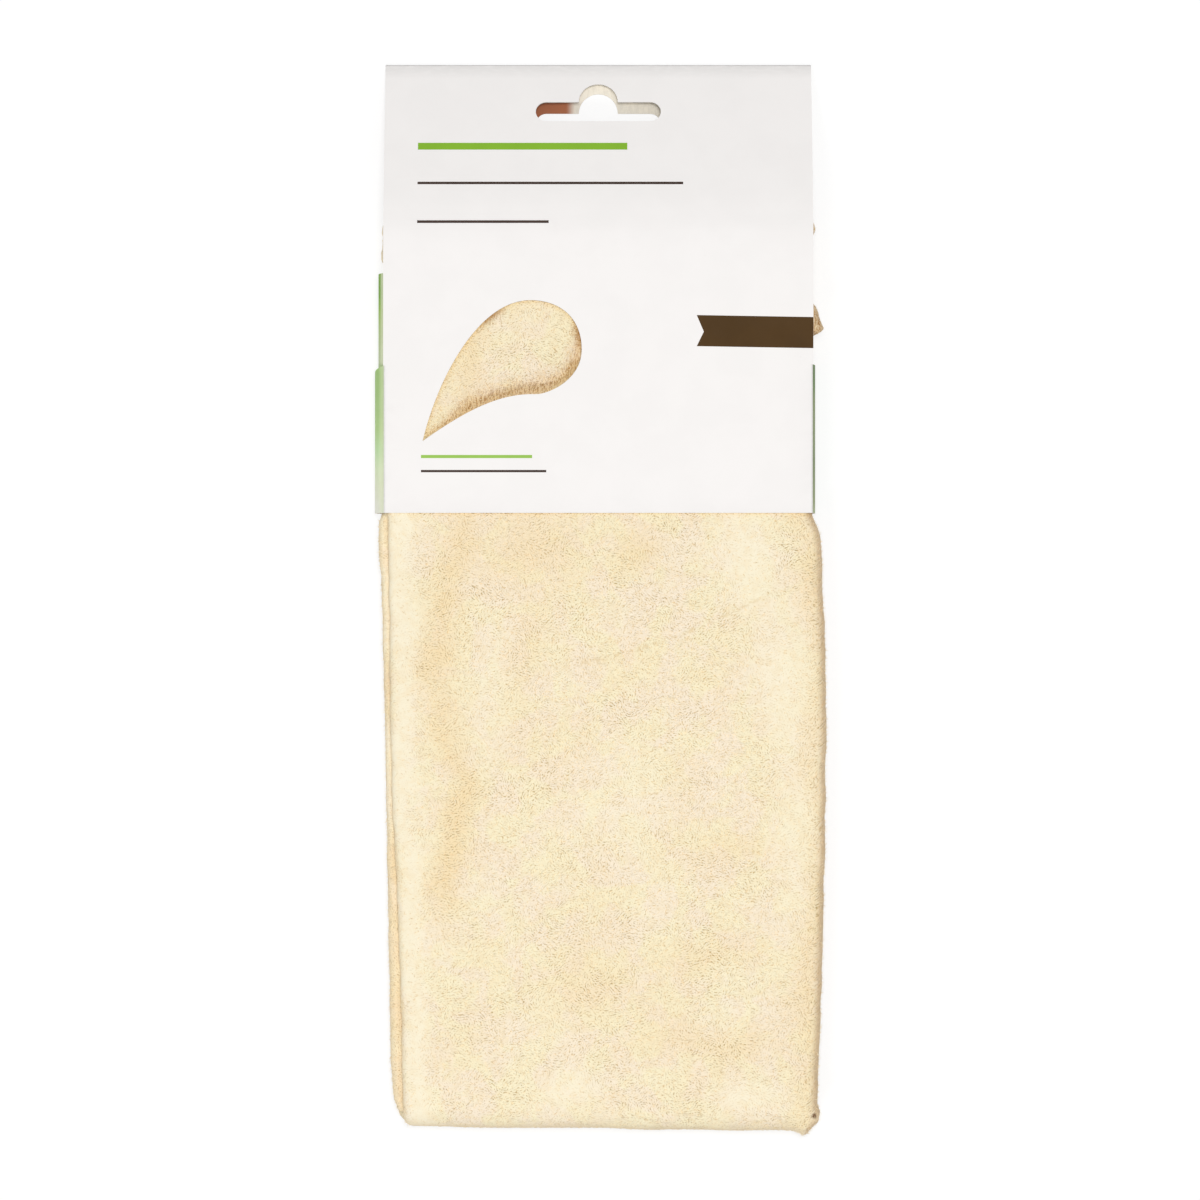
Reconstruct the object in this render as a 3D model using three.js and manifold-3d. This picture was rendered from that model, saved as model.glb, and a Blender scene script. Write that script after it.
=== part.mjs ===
// A chamois leather, folded to a flat packet and held in a card sleeve that hangs on a display hook.
// Millimetres, +Z up. The packet lies on its back, the front of the card looks up,
// and the card's top fold points along +Y. While the pieces are drawn, y is 0 at the sleeve's
// mouth and z is 0 under the back panel. The last lines centre the whole on its own box.

import * as THREE from 'three';
import { mergeVertices } from 'three/addons/utils/BufferGeometryUtils.js';
import Module from 'manifold-3d';

const wasm = await Module();
wasm.setup();

// Clearances
const seatGap = 0.3; // between two pieces that touch
const cutOverrun = 2; // how far a cutting tool runs past both faces of a board

// The size that the sleeve and the packet share
const cardWidth = 109.2;

// The leather: a square skin, folded in four lengthwise and in half across
const skinThickness = 1.3;
const layerGap = 0.45; // air between two layers, filled by their nap
const middleGap = 0.25; // from the last fold's middle plane to the nearest layer
const packetSwell = 2.9; // how far the packet reaches past half the card's width where it is widest
const hiddenLength = 73.1; // inside the sleeve
const shownLength = 156.2; // below the sleeve's mouth, at the left corner
const cutEndStagger = 3; // how far the inmost layer's cut end runs past the outmost one's
const cutEdgeInset = 1.2; // from the two hidden side edges to the wrap that encloses them
const settleLength = 11; // past the mouth, where the packet comes down to what the sleeve lies on
const foldSlant = 1.6; // the lower fold runs this much lower at its right end
const cornerPeak = 1.1; // the pulled-out point near the lower right corner
const cornerPeakWidth = 4;
const cornerPeakInset = 5;

// How far the packet's edges lie past half the card's width, as shares of packetSwell, against the
// share of the shown length from the lower fold to the sleeve's mouth: the outer fold on the
// left, the inner fold that peeps out beyond it, and the wrap on the right. Inside the sleeve the
// last row holds.
const edgeShares = [
  { along: 0.0, outerLeft: -1.62, innerLeft: -0.49, right: 0.21 },
  { along: 0.075, outerLeft: -1.52, innerLeft: -0.35, right: 0.25 },
  { along: 0.16, outerLeft: -1.44, innerLeft: -0.27, right: 0.48 },
  { along: 0.37, outerLeft: -1.14, innerLeft: -0.07, right: 0.76 },
  { along: 0.63, outerLeft: -0.82, innerLeft: 0.07, right: 0.96 },
  { along: 0.84, outerLeft: -0.39, innerLeft: 0.37, right: 1.0 },
  { along: 0.95, outerLeft: -0.23, innerLeft: 0.46, right: 0.66 },
  { along: 1.0, outerLeft: -0.29, innerLeft: 0.4, right: -0.29 },
];
// Where the straight parts of the two halves are bent or measured, as shares of the hidden length
// from the mouth up, and of the shown length from the lower fold up
const hiddenShares = [1, 0.75, 0.3, 0.045];
const shownShares = [1, 0.97, 0.95, 0.88, 0.76, 0.59, 0.37, 0.16];

// The card sleeve
const boardThickness = 0.4;
const cardLength = 115.3; // from the mouth to the top fold
const cardOffset = -0.6; // from the packet's middle to the card's, which lies to its left
const shoulderRadius = 6; // where the front panel bends down to the header, at the board's middle
const creaseRadius = 0.5; // of the top fold, at the board's middle
const rightWallLength = 37.7;
const rightWallBow = 0.7; // how far the packet pushes the wall out
const leftWallMargin = 12.1; // from its end up to the packet's hidden end
const leftWallBow = 1.65;
const leftWallDrop = 0.9; // its free upper edge ends this far below the right wall's
const leftWallLean = 0.2; // and this much further in
const flapLength = 37.4;
const flapShift = 0.75; // the flap's free edge lies this far outside the wall that it is glued to
const flapBow = 2.05;
const flapBevel = 3; // the flap is shorter at its free edge

// The euro slots, which a display hook goes through
const slotWidth = 32;
const slotArmHeight = 5.3;
const slotHeight = 10.3;
const frontSlotMargin = 5.4; // along the board, from the top fold to the slot
const backSlotMargin = 7.5;

// The drop-shaped window in the front panel
const windowWidth = 40.4;
const windowHeight = 35.8;
const windowInset = 10; // from the card's left edge to the tip
const windowRise = 18.2; // from the mouth to the tip
// Its four curves, from the tip round clockwise, as shares of its width and height:
// two handles and the end of each
const windowCurveShares = [
  [0.094, 0.447, 0.352, 1.0, 0.676, 1.0],
  [0.862, 1.0, 1.0, 0.878, 1.0, 0.649],
  [1.0, 0.435, 0.792, 0.331, 0.707, 0.333],
  [0.487, 0.341, 0.272, 0.219, 0.0, 0.0],
];

// How finely curves are drawn
const creaseSteps = 8;
const shoulderSteps = 6;
const bowSteps = 8;
const slotSteps = 10;
const windowSteps = 12;
const sideFoldSteps = 4;
const wrapSteps = 5;
const lowerFoldSteps = 6;
const panelRuns = 3; // runs across the leather's outer layer

// Sizes that follow
const layerPitch = skinThickness + layerGap;
const middleLayer = [0, 1, 2, 3].map((k) => middleGap + skinThickness / 2 + k * layerPitch);
const packetRadius = middleLayer[3] + skinThickness / 2;
const packetHeight = 2 * packetRadius;
const packetHalfWidth = cardWidth / 2 + packetSwell;
const cardDepth = packetHeight + 2 * (boardThickness + seatGap);
const levelLength = hiddenLength; // the header starts where the packet ends
const leftWallLength = hiddenLength - leftWallMargin;
const panelMiddle = cardDepth - boardThickness / 2;
const packetFloor = boardThickness + seatGap; // the packet's underside inside the sleeve

// Boards drawn edge-on

const flat = (x, y) => new THREE.Vector2(x, y);

// A point of a board's middle line with the direction that its outer face looks in.
const edgePoint = (at, out) => ({ at, out });

function arcPoints(centre, radius, from, to, steps) {
  const points = [];
  for (let i = 0; i <= steps; i++) {
    const angle = THREE.MathUtils.lerp(from, to, i / steps);
    const out = flat(Math.cos(angle), Math.sin(angle));
    points.push(edgePoint(centre.clone().addScaledVector(out, radius), out));
  }
  return points;
}

// The closed outline of a board of boardThickness round its middle line.
function boardShape(line) {
  const half = boardThickness / 2;
  const outer = line.map((p) => p.at.clone().addScaledVector(p.out, half));
  const inner = line.map((p) => p.at.clone().addScaledVector(p.out, -half));
  return new THREE.Shape([...outer, ...inner.reverse()]);
}

function extrude(shape, depth, curveSegments) {
  return new THREE.ExtrudeGeometry(shape, { depth, bevelEnabled: false, curveSegments });
}

// Turns a geometry so that its x, y and z run along the three given directions.
function turned(geometry, x, y, z) {
  return geometry.applyMatrix4(new THREE.Matrix4().makeBasis(x, y, z));
}

// Solids with cut-outs

function solidOf(geometry) {
  const bare = geometry.clone();
  bare.deleteAttribute('normal');
  bare.deleteAttribute('uv');
  const merged = mergeVertices(bare);
  return new wasm.Manifold(
    new wasm.Mesh({
      numProp: 3,
      vertProperties: merged.attributes.position.array,
      triVerts: new Uint32Array(merged.index.array),
    }),
  );
}

function cut(geometry, ...tools) {
  let solid = solidOf(geometry);
  for (const tool of tools) {
    solid = solid.subtract(solidOf(tool));
  }
  const mesh = solid.getMesh();
  const made = new THREE.BufferGeometry();
  made.setAttribute('position', new THREE.BufferAttribute(new Float32Array(mesh.vertProperties), 3));
  made.setIndex(new THREE.BufferAttribute(new Uint32Array(mesh.triVerts), 1));
  made.computeVertexNormals();
  return made;
}

// The card sleeve's panels

// The euro slot: a wide slot with round ends and a hump in the middle. y is 0 at its top.
function euroSlot() {
  const endRadius = slotArmHeight / 2;
  const humpRadius = slotHeight - slotArmHeight;
  const endX = slotWidth / 2 - endRadius;
  const shape = new THREE.Shape();
  shape.moveTo(-endX, -slotHeight);
  shape.lineTo(endX, -slotHeight);
  shape.absarc(endX, -slotHeight + endRadius, endRadius, -Math.PI / 2, Math.PI / 2, false);
  shape.lineTo(humpRadius, -humpRadius);
  shape.absarc(0, -humpRadius, humpRadius, 0, Math.PI, false);
  shape.lineTo(-endX, -humpRadius);
  shape.absarc(-endX, -slotHeight + endRadius, endRadius, Math.PI / 2, (Math.PI * 3) / 2, false);
  return shape;
}

function dropWindow() {
  const tip = flat(windowInset - cardWidth / 2, windowRise);
  const shape = new THREE.Shape();
  shape.moveTo(tip.x, tip.y);
  for (const shares of windowCurveShares) {
    const xy = shares.map((s, i) => (i % 2 ? tip.y + s * windowHeight : tip.x + s * windowWidth));
    shape.bezierCurveTo(...xy);
  }
  return shape;
}

// The header is the straight run between the shoulder's arc and the top fold's arc. This is how
// steeply it goes down, from the places of the two arcs' centres.
const shoulderCentre = flat(levelLength, panelMiddle - shoulderRadius);
const creaseCentre = flat(
  cardLength - creaseRadius - boardThickness / 2,
  creaseRadius + boardThickness / 2,
);
const betweenCentres = creaseCentre.clone().sub(shoulderCentre);
const headerAngle =
  Math.asin((shoulderRadius - creaseRadius) / betweenCentres.length()) -
  Math.atan2(betweenCentres.y, betweenCentres.x);

function frontPanel() {
  const upright = Math.PI / 2;
  const line = [
    edgePoint(flat(0, panelMiddle), flat(0, 1)),
    ...arcPoints(shoulderCentre, shoulderRadius, upright, upright - headerAngle, shoulderSteps),
    ...arcPoints(creaseCentre, creaseRadius, upright - headerAngle, -upright, creaseSteps),
  ];
  const panel = turned(
    extrude(boardShape(line), cardWidth),
    new THREE.Vector3(0, 1, 0),
    new THREE.Vector3(0, 0, 1),
    new THREE.Vector3(1, 0, 0),
  ).translate(-cardWidth / 2, 0, 0);

  const toolDepth = boardThickness + 2 * cutOverrun;
  const slot = extrude(euroSlot(), toolDepth, slotSteps).translate(0, -frontSlotMargin, -toolDepth / 2);
  slot.rotateX(-headerAngle);
  const out = flat(Math.sin(headerAngle), Math.cos(headerAngle));
  const headerTop = creaseCentre.clone().addScaledVector(out, creaseRadius);
  slot.translate(0, headerTop.x, headerTop.y);

  const window = extrude(dropWindow(), toolDepth, windowSteps).translate(0, 0, panelMiddle - toolDepth / 2);
  return cut(panel, slot, window);
}

function backPanel() {
  // The top fold comes round under the header as far as its own centre, where this panel begins.
  const top = creaseCentre.x - seatGap;
  const shape = new THREE.Shape();
  shape.moveTo(-cardWidth / 2, 0);
  shape.lineTo(cardWidth / 2, 0);
  shape.lineTo(cardWidth / 2, top);
  shape.lineTo(-cardWidth / 2, top);
  shape.closePath();
  const slotTop = cardLength - backSlotMargin;
  const slot = euroSlot().getPoints(slotSteps).map((p) => flat(p.x, p.y + slotTop));
  shape.holes.push(new THREE.Path(slot));
  return extrude(shape, boardThickness, slotSteps);
}

// A side wall stands between the two panels: side is 1 on the right and -1 on the left. low and
// high are its middle line's ends, x out from the card's middle and y up, and it bulges by bow.
function wall(side, low, high, bow, length) {
  const half = (high.y - low.y) / 2;
  const radius = (half * half + bow * bow) / (2 * bow);
  const reach = Math.asin(half / radius);
  const line = arcPoints(flat(0, 0), radius, -reach, reach, bowSteps).map((p) => {
    const share = (p.at.y + half) / (2 * half);
    const x = THREE.MathUtils.lerp(low.x, high.x, share) + p.at.x - (radius - bow);
    return edgePoint(flat(side * x, low.y + half + p.at.y), flat(side * p.out.x, p.out.y));
  });
  if (side < 0) line.reverse();
  return turned(
    extrude(boardShape(line), length),
    new THREE.Vector3(1, 0, 0),
    new THREE.Vector3(0, 0, 1),
    new THREE.Vector3(0, -1, 0),
  ).translate(0, length, 0);
}

const creaseX = cardWidth / 2 - boardThickness / 2; // where a wall's middle line meets the panel's edge
const wallFoot = flat(creaseX, boardThickness + seatGap);
const wallHead = flat(creaseX, cardDepth - boardThickness - seatGap);

function rightWall() {
  return wall(1, wallFoot, wallHead, rightWallBow, rightWallLength);
}

// The left wall rises from the back panel and ends free, under the flap.
function leftWall() {
  const head = flat(wallHead.x - leftWallLean, wallHead.y - leftWallDrop);
  return wall(-1, wallFoot, head, leftWallBow, leftWallLength);
}

// The flap hangs from the front panel's left crease, over the lower part of the left wall.
function glueFlap() {
  const foot = flat(wallFoot.x + flapShift, wallFoot.y);
  const flap = wall(-1, foot, wallHead, flapBow, flapLength);
  const bevel = new THREE.Shape([
    flat(flapLength, cardDepth),
    flat(flapLength - flapBevel, 0),
    flat(flapLength + cutOverrun, 0),
    flat(flapLength + cutOverrun, cardDepth),
  ]);
  const outside = foot.x + flapBow + boardThickness + cutOverrun;
  const tool = turned(
    extrude(bevel, outside - wallHead.x + boardThickness + cutOverrun),
    new THREE.Vector3(0, 1, 0),
    new THREE.Vector3(0, 0, 1),
    new THREE.Vector3(1, 0, 0),
  ).translate(-outside, 0, 0);
  return cut(flap, tool);
}

// The leather

// The packet's edges at a height, as half widths in millimetres.
function edgesAt(y) {
  const along = 1 + Math.min(0, y) / shownLength;
  const next = Math.max(1, edgeShares.findIndex((row) => row.along >= along));
  const low = edgeShares[next - 1];
  const high = edgeShares[next];
  const t = (along - low.along) / (high.along - low.along);
  const width = (name) => cardWidth / 2 + THREE.MathUtils.lerp(low[name], high[name], t) * packetSwell;
  return { outerLeft: width('outerLeft'), innerLeft: width('innerLeft'), right: width('right') };
}

// One half of the packet across its width: the skin's middle line with its outward directions,
// from the cut edge of layer 2 round the outer left fold, over the top, round the wrap on the
// right, back along layer 4, round the inner left fold and out along layer 3. x is across the
// packet, and y is the height above the middle plane of the lower fold.
function foldedLine({ outerLeft, innerLeft, right }) {
  const [layer4, layer3, layer2, layer1] = middleLayer;
  const sideRadius = layerPitch / 2;
  const wrapRadius = (layer1 - layer4) / 2;
  const outerFold = flat(-outerLeft + sideRadius + skinThickness / 2, (layer1 + layer2) / 2);
  const innerFold = flat(-innerLeft + sideRadius + skinThickness / 2, (layer3 + layer4) / 2);
  const wrap = flat(right - wrapRadius - skinThickness / 2, (layer1 + layer4) / 2);
  const cutX = wrap.x - cutEdgeInset;
  const down = (Math.PI * 3) / 2;
  const up = Math.PI / 2;
  const top = [];
  for (let i = 1; i < panelRuns; i++) {
    const x = THREE.MathUtils.lerp(outerFold.x, wrap.x, i / panelRuns);
    top.push(edgePoint(flat(x, layer1), flat(0, 1)));
  }
  return [
    edgePoint(flat(cutX, layer2), flat(0, -1)),
    ...arcPoints(outerFold, sideRadius, down, up, sideFoldSteps),
    ...top,
    ...arcPoints(wrap, wrapRadius, up, -up, wrapSteps),
    ...arcPoints(innerFold, sideRadius, down, up, sideFoldSteps),
    edgePoint(flat(cutX, layer3), flat(0, 1)),
  ];
}

// The stations along the packet: the front half from the hidden end down to the lower fold, the
// fold itself, and the back half up again. turn is 0 in front, pi at the back.
function packetStations() {
  const hidden = hiddenShares.map((share) => share * hiddenLength);
  const shown = shownShares.map((share) => (share - 1) * shownLength);
  const front = [...hidden, ...shown].map((y) => ({ y, turn: 0 }));
  const fold = [];
  for (let i = 0; i <= lowerFoldSteps; i++) {
    fold.push({ y: packetRadius - shownLength, turn: (Math.PI * i) / lowerFoldSteps });
  }
  const back = front.map(({ y }) => ({ y, turn: Math.PI })).reverse();
  return [...front, ...fold, ...back];
}

const smooth = THREE.MathUtils.smoothstep;

// Where a point of the regular packet really lies. Inside the sleeve the packet rides on the back
// panel. Past the mouth it comes down to the surface that the sleeve lies on, and swells. The lower
// fold slants, and its right corner is pulled out to a point. Layers further in end further up.
function placed(x, y, height, level) {
  const open = 1 - smooth(y, -settleLength, -packetFloor);
  const floor = packetFloor * (1 - open);
  const ceiling = packetFloor + packetHeight;
  const share = (height + packetRadius) / packetHeight;
  const nearFold = 1 - smooth(y, -shownLength, -shownLength / 2);
  const slant = (foldSlant / 2) * (x / packetHalfWidth + 1) * nearFold;
  const fromPeak = (x - packetHalfWidth + cornerPeakInset) / cornerPeakWidth;
  const atFold = 1 - smooth(y, -shownLength, packetRadius - shownLength);
  const peak = cornerPeak * Math.exp(-fromPeak * fromPeak) * atFold;
  const nearEnd = smooth(y, 0, hiddenLength);
  const stagger = cutEndStagger * (1 - level / packetRadius) * nearEnd;
  return [x, y - slant - peak + stagger, THREE.MathUtils.lerp(floor, ceiling, share)];
}

function leatherGeometry() {
  const positions = [];
  const stations = packetStations();
  for (const { y, turn } of stations) {
    for (const p of foldedLine(edgesAt(y))) {
      for (const face of [1, -1]) {
        const x = p.at.x + (face * p.out.x * skinThickness) / 2;
        const level = p.at.y + (face * p.out.y * skinThickness) / 2;
        positions.push(...placed(x, y - level * Math.sin(turn), level * Math.cos(turn), level));
      }
    }
  }
  // Each station has a point on the skin's outer face, 0, and one on its inner face, 1.
  const perStation = positions.length / 3 / stations.length;
  const end = perStation / 2 - 1;
  const last = stations.length - 1;
  const vertex = (station, point, face) => station * perStation + point * 2 + face;
  const index = [];
  const quad = (a, b, c, d) => index.push(a, b, c, a, c, d);
  for (let s = 0; s < last; s++) {
    for (let p = 0; p < end; p++) {
      quad(vertex(s, p, 0), vertex(s + 1, p, 0), vertex(s + 1, p + 1, 0), vertex(s, p + 1, 0));
      quad(vertex(s, p, 1), vertex(s, p + 1, 1), vertex(s + 1, p + 1, 1), vertex(s + 1, p, 1));
    }
    quad(vertex(s, 0, 0), vertex(s, 0, 1), vertex(s + 1, 0, 1), vertex(s + 1, 0, 0));
    quad(vertex(s, end, 0), vertex(s + 1, end, 0), vertex(s + 1, end, 1), vertex(s, end, 1));
  }
  for (let p = 0; p < end; p++) {
    quad(vertex(0, p, 0), vertex(0, p + 1, 0), vertex(0, p + 1, 1), vertex(0, p, 1));
    quad(vertex(last, p, 0), vertex(last, p, 1), vertex(last, p + 1, 1), vertex(last, p + 1, 0));
  }
  const geometry = new THREE.BufferGeometry();
  geometry.setAttribute('position', new THREE.Float32BufferAttribute(positions, 3));
  geometry.setIndex(index);
  geometry.computeVertexNormals();
  return geometry;
}

// Materials

const chamois = new THREE.MeshStandardMaterial({ color: 0xf7e6c6, roughness: 0.95, metalness: 0 });
const whiteBoard = new THREE.MeshStandardMaterial({ color: 0xf4f2ef, roughness: 0.5, metalness: 0 });
const greenBoard = new THREE.MeshStandardMaterial({ color: 0xa5cf86, roughness: 0.55, metalness: 0 });

// The assembly

function piece(name, geometry, material) {
  const mesh = new THREE.Mesh(geometry, material);
  mesh.name = name;
  return mesh;
}

const sleeve = new THREE.Group();
sleeve.add(
  piece('card_front_panel', frontPanel(), whiteBoard),
  piece('card_back_panel', backPanel(), whiteBoard),
  piece('card_right_wall', rightWall(), greenBoard),
  piece('card_left_wall', leftWall(), greenBoard),
  piece('card_glue_flap', glueFlap(), greenBoard),
);
sleeve.position.x = cardOffset;

const part = new THREE.Group();
part.add(sleeve, piece('chamois_leather', leatherGeometry(), chamois));
part.updateMatrixWorld(true);

// The origin is the middle of the underside.
const box = new THREE.Box3().setFromObject(part, true);
const middle = box.getCenter(new THREE.Vector3());
part.position.set(-middle.x, -middle.y, -box.min.z);

export default part;
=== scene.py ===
import math

import bmesh
import bpy
import numpy as np
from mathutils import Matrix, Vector, geometry, noise


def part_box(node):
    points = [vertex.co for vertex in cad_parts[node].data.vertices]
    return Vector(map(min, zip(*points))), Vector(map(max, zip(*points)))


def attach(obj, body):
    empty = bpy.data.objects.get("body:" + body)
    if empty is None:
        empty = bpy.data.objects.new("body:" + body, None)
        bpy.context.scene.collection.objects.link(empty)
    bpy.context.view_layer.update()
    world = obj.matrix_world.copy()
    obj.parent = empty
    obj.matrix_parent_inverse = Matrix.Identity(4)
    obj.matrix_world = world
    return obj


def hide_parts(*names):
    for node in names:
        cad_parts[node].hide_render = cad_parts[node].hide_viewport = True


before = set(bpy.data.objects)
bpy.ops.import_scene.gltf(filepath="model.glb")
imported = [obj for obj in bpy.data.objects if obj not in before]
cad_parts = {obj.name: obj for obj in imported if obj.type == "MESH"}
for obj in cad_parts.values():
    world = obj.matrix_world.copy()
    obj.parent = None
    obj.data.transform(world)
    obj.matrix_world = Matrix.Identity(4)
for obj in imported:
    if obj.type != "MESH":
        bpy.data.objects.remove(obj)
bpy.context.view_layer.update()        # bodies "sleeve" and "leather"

mm = 0.001

# where the frame has the sleeve, in millimetres
frontLow, frontHigh = (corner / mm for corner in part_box("card_front_panel"))
mouthY = frontLow.y
cardMidX = (frontLow.x + frontHigh.x) / 2
cardWidth = frontHigh.x - frontLow.x
cardLength = frontHigh.y - frontLow.y
cardDepth = frontHigh.z


def smoothstep(low, high, value):
    t = np.clip((value - low) / (high - low), 0.0, 1.0)
    return t * t * (3 - 2 * t)


def bell(distance, width):
    return np.exp(-(distance / width) ** 2)


def noiseAt(points, size, seed, octaves=3):
    # soft noise from -1 to 1 with lumps of that size in millimetres
    shift = Vector((seed * 17.3, seed * 5.9, seed * 11.1))
    return np.array([noise.fractal(Vector(p) / size + shift, 1.0, 2.0, octaves) for p in points])


def addObject(name, data):
    made = bpy.data.objects.new(name, data)
    bpy.context.scene.collection.objects.link(made)
    return made


def storeValues(mesh, name, values):
    mesh.attributes.new(name, "FLOAT", "POINT").data.foreach_set("value", np.array(values, np.float32))


# camera and light

view = {
    "distance": 1200,       # mm above the surface that the packet lies on
    "focalPixels": 4670,    # for a frame of 1200 pixels
    "centre": (0.0, -0.35),
    "framePixels": 1200,
}


def makeCamera():
    data = bpy.data.cameras.new("photoCamera")
    data.sensor_width = 36
    data.sensor_fit = "AUTO"
    data.lens = data.sensor_width * view["focalPixels"] / view["framePixels"]
    data.clip_start = 0.01
    data.clip_end = 20
    camera = addObject("photoCamera", data)
    camera.location = [c * mm for c in (*view["centre"], view["distance"])]
    bpy.context.scene.camera = camera


light = {
    "world": 0.38,            # even light from all round
    "key": 2.4,               # watts, the soft lamp beyond the lower fold, a little to the left
    "keySize": 0.25,
    "keyPlace": (-0.26, -0.70, 0.86),
    "flash": 7.2,             # the lamp beside the camera
    "flashSize": 0.3,
    "flashPlace": (0.06, 0.10, 1.25),
    "floorSize": 6,           # metres
    "floorBounce": 0.8,       # the white that lights the packet from the floor
    "floorGlow": 0.74,        # what the camera sees of the floor's own white
    "floorShade": 0.30,       # and how much of its light and shadow
}


def addLamp(name):
    data = bpy.data.lights.new(name + "Lamp", "AREA")
    data.shape = "DISK"
    data.size = light[name + "Size"]
    data.energy = light[name]
    lamp = addObject(name + "Lamp", data)
    lamp.location = light[name + "Place"]
    lamp.rotation_euler = (-lamp.location).to_track_quat("-Z", "Y").to_euler()


# node helpers

def feed(made, inputs):
    # links what is another node's output, and sets the rest
    for key, value in inputs.items():
        if isinstance(value, bpy.types.NodeSocket):
            made.id_data.links.new(value, made.inputs[key])
        elif value is not None:
            made.inputs[key].default_value = value
    return made


def addNode(near, kind, inputs=None, **settings):
    # near is the tree or anything in it; shader nodes go by short names, and all others by whole ones
    made = near.id_data.nodes.new(kind if "Node" in kind else "ShaderNode" + kind)
    for name, value in settings.items():
        setattr(made, name, value)
    return feed(made, inputs or {})


def node(kind, values, **settings):
    # goes into the tree of the first value that comes from another node
    near = next(value for value in values.values() if isinstance(value, bpy.types.NodeSocket))
    return addNode(near, kind, values, **settings)


def mixColour(factor, first, second, blend="MIX"):
    inputs = {0: factor, 6: first, 7: second}
    return node("Mix", inputs, data_type="RGBA", blend_type=blend).outputs[2]


def reckon(operation, *values, clamp=False):
    return node("Math", dict(enumerate(values)), operation=operation, use_clamp=clamp).outputs[0]


def times(first, *others):
    for other in others:
        first = reckon("MULTIPLY", first, other)
    return first


def most(first, *others):
    for other in others:
        first = reckon("MAXIMUM", first, other)
    return first


def vectorMath(operation, first, second=None, scale=None):
    return node("VectorMath", {0: first, 1: second, "Scale": scale}, operation=operation).outputs[0]


def axes(vector):
    return node("SeparateXYZ", {"Vector": vector}).outputs


def spread(value, low, high, toLow=0.0, toHigh=1.0):
    inputs = {"Value": value, "From Min": low, "From Max": high, "To Min": toLow, "To Max": toHigh}
    return node("MapRange", inputs, interpolation_type="SMOOTHSTEP").outputs[0]


def fall(value, low, high):
    return spread(value, low, high, 1.0, 0.0)


def colour(red, green, blue):
    # from the 0 to 255 that a screen shows to the light that it stands for
    shares = [c / 255 for c in (red, green, blue)]
    linear = [c / 12.92 if c <= 0.04045 else ((c + 0.055) / 1.055) ** 2.4 for c in shares]
    return (*linear, 1.0)


def darker(shade, share):
    return (*(c * share for c in shade[:3]), 1.0)


def newMaterial(name):
    material = bpy.data.materials.new(name)
    material.use_nodes = True
    shader = material.node_tree.nodes["Principled BSDF"]
    place = addNode(shader, "TexCoord").outputs["Object"]
    return material, shader, place


def grain(place, size, detail=2.0, distortion=0.0, stretch=(1, 1, 1)):
    # noise from 0 to 1 with lumps of that size in millimetres
    mapped = node("Mapping", {"Vector": place, "Scale": stretch}).outputs[0]
    inputs = {"Vector": mapped, "Scale": 1 / (size * mm), "Detail": detail, "Distortion": distortion}
    return node("TexNoise", inputs).outputs["Fac"]


def relief(height, strength, depth):
    return node("Bump", {"Height": height, "Strength": strength, "Distance": depth * mm}).outputs[0]


# the surface that the packet lies on, and the lamps

def clearedTree(owner):
    owner.use_nodes = True
    owner.node_tree.nodes.clear()
    return owner.node_tree


def seenItself(tree):
    # 1 where the camera sees it, straight or in gloss and glass, and 0 where it only gives light
    path = addNode(tree, "LightPath")
    seen = most(path.outputs["Is Camera Ray"], path.outputs["Is Glossy Ray"])
    return most(seen, path.outputs["Is Transmission Ray"])


def makeStage():
    bpy.ops.mesh.primitive_plane_add(size=light["floorSize"], location=(0, 0, 0))
    floor = bpy.context.object
    floor.name = "floor"
    material = bpy.data.materials.new("paleFloor")
    tree = clearedTree(material)

    def matt(grey):
        return addNode(tree, "BsdfDiffuse", {"Color": (grey, grey, grey, 1)}).outputs[0]

    glow = addNode(tree, "Emission", {"Color": (1, 1, 1, 1), "Strength": light["floorGlow"]})
    shown = addNode(tree, "AddShader", {0: glow.outputs[0], 1: matt(light["floorShade"])})
    both = addNode(tree, "MixShader", {"Fac": seenItself(tree), 1: matt(light["floorBounce"]),
                                       2: shown.outputs[0]})
    addNode(tree, "OutputMaterial", {"Surface": both.outputs[0]})
    floor.data.materials.append(material)

    world = bpy.data.worlds.new("room")
    bpy.context.scene.world = world
    tree = clearedTree(world)
    strength = reckon("MULTIPLY_ADD", seenItself(tree), 1 - light["world"], light["world"])
    backdrop = addNode(tree, "Background", {"Color": (1, 1, 1, 1), "Strength": strength})
    addNode(tree, "OutputWorld", {"Surface": backdrop.outputs[0]})

    addLamp("key")
    addLamp("flash")
    bpy.context.scene.view_settings.view_transform = "Standard"


# the card sleeve: one creased and glued board

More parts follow.
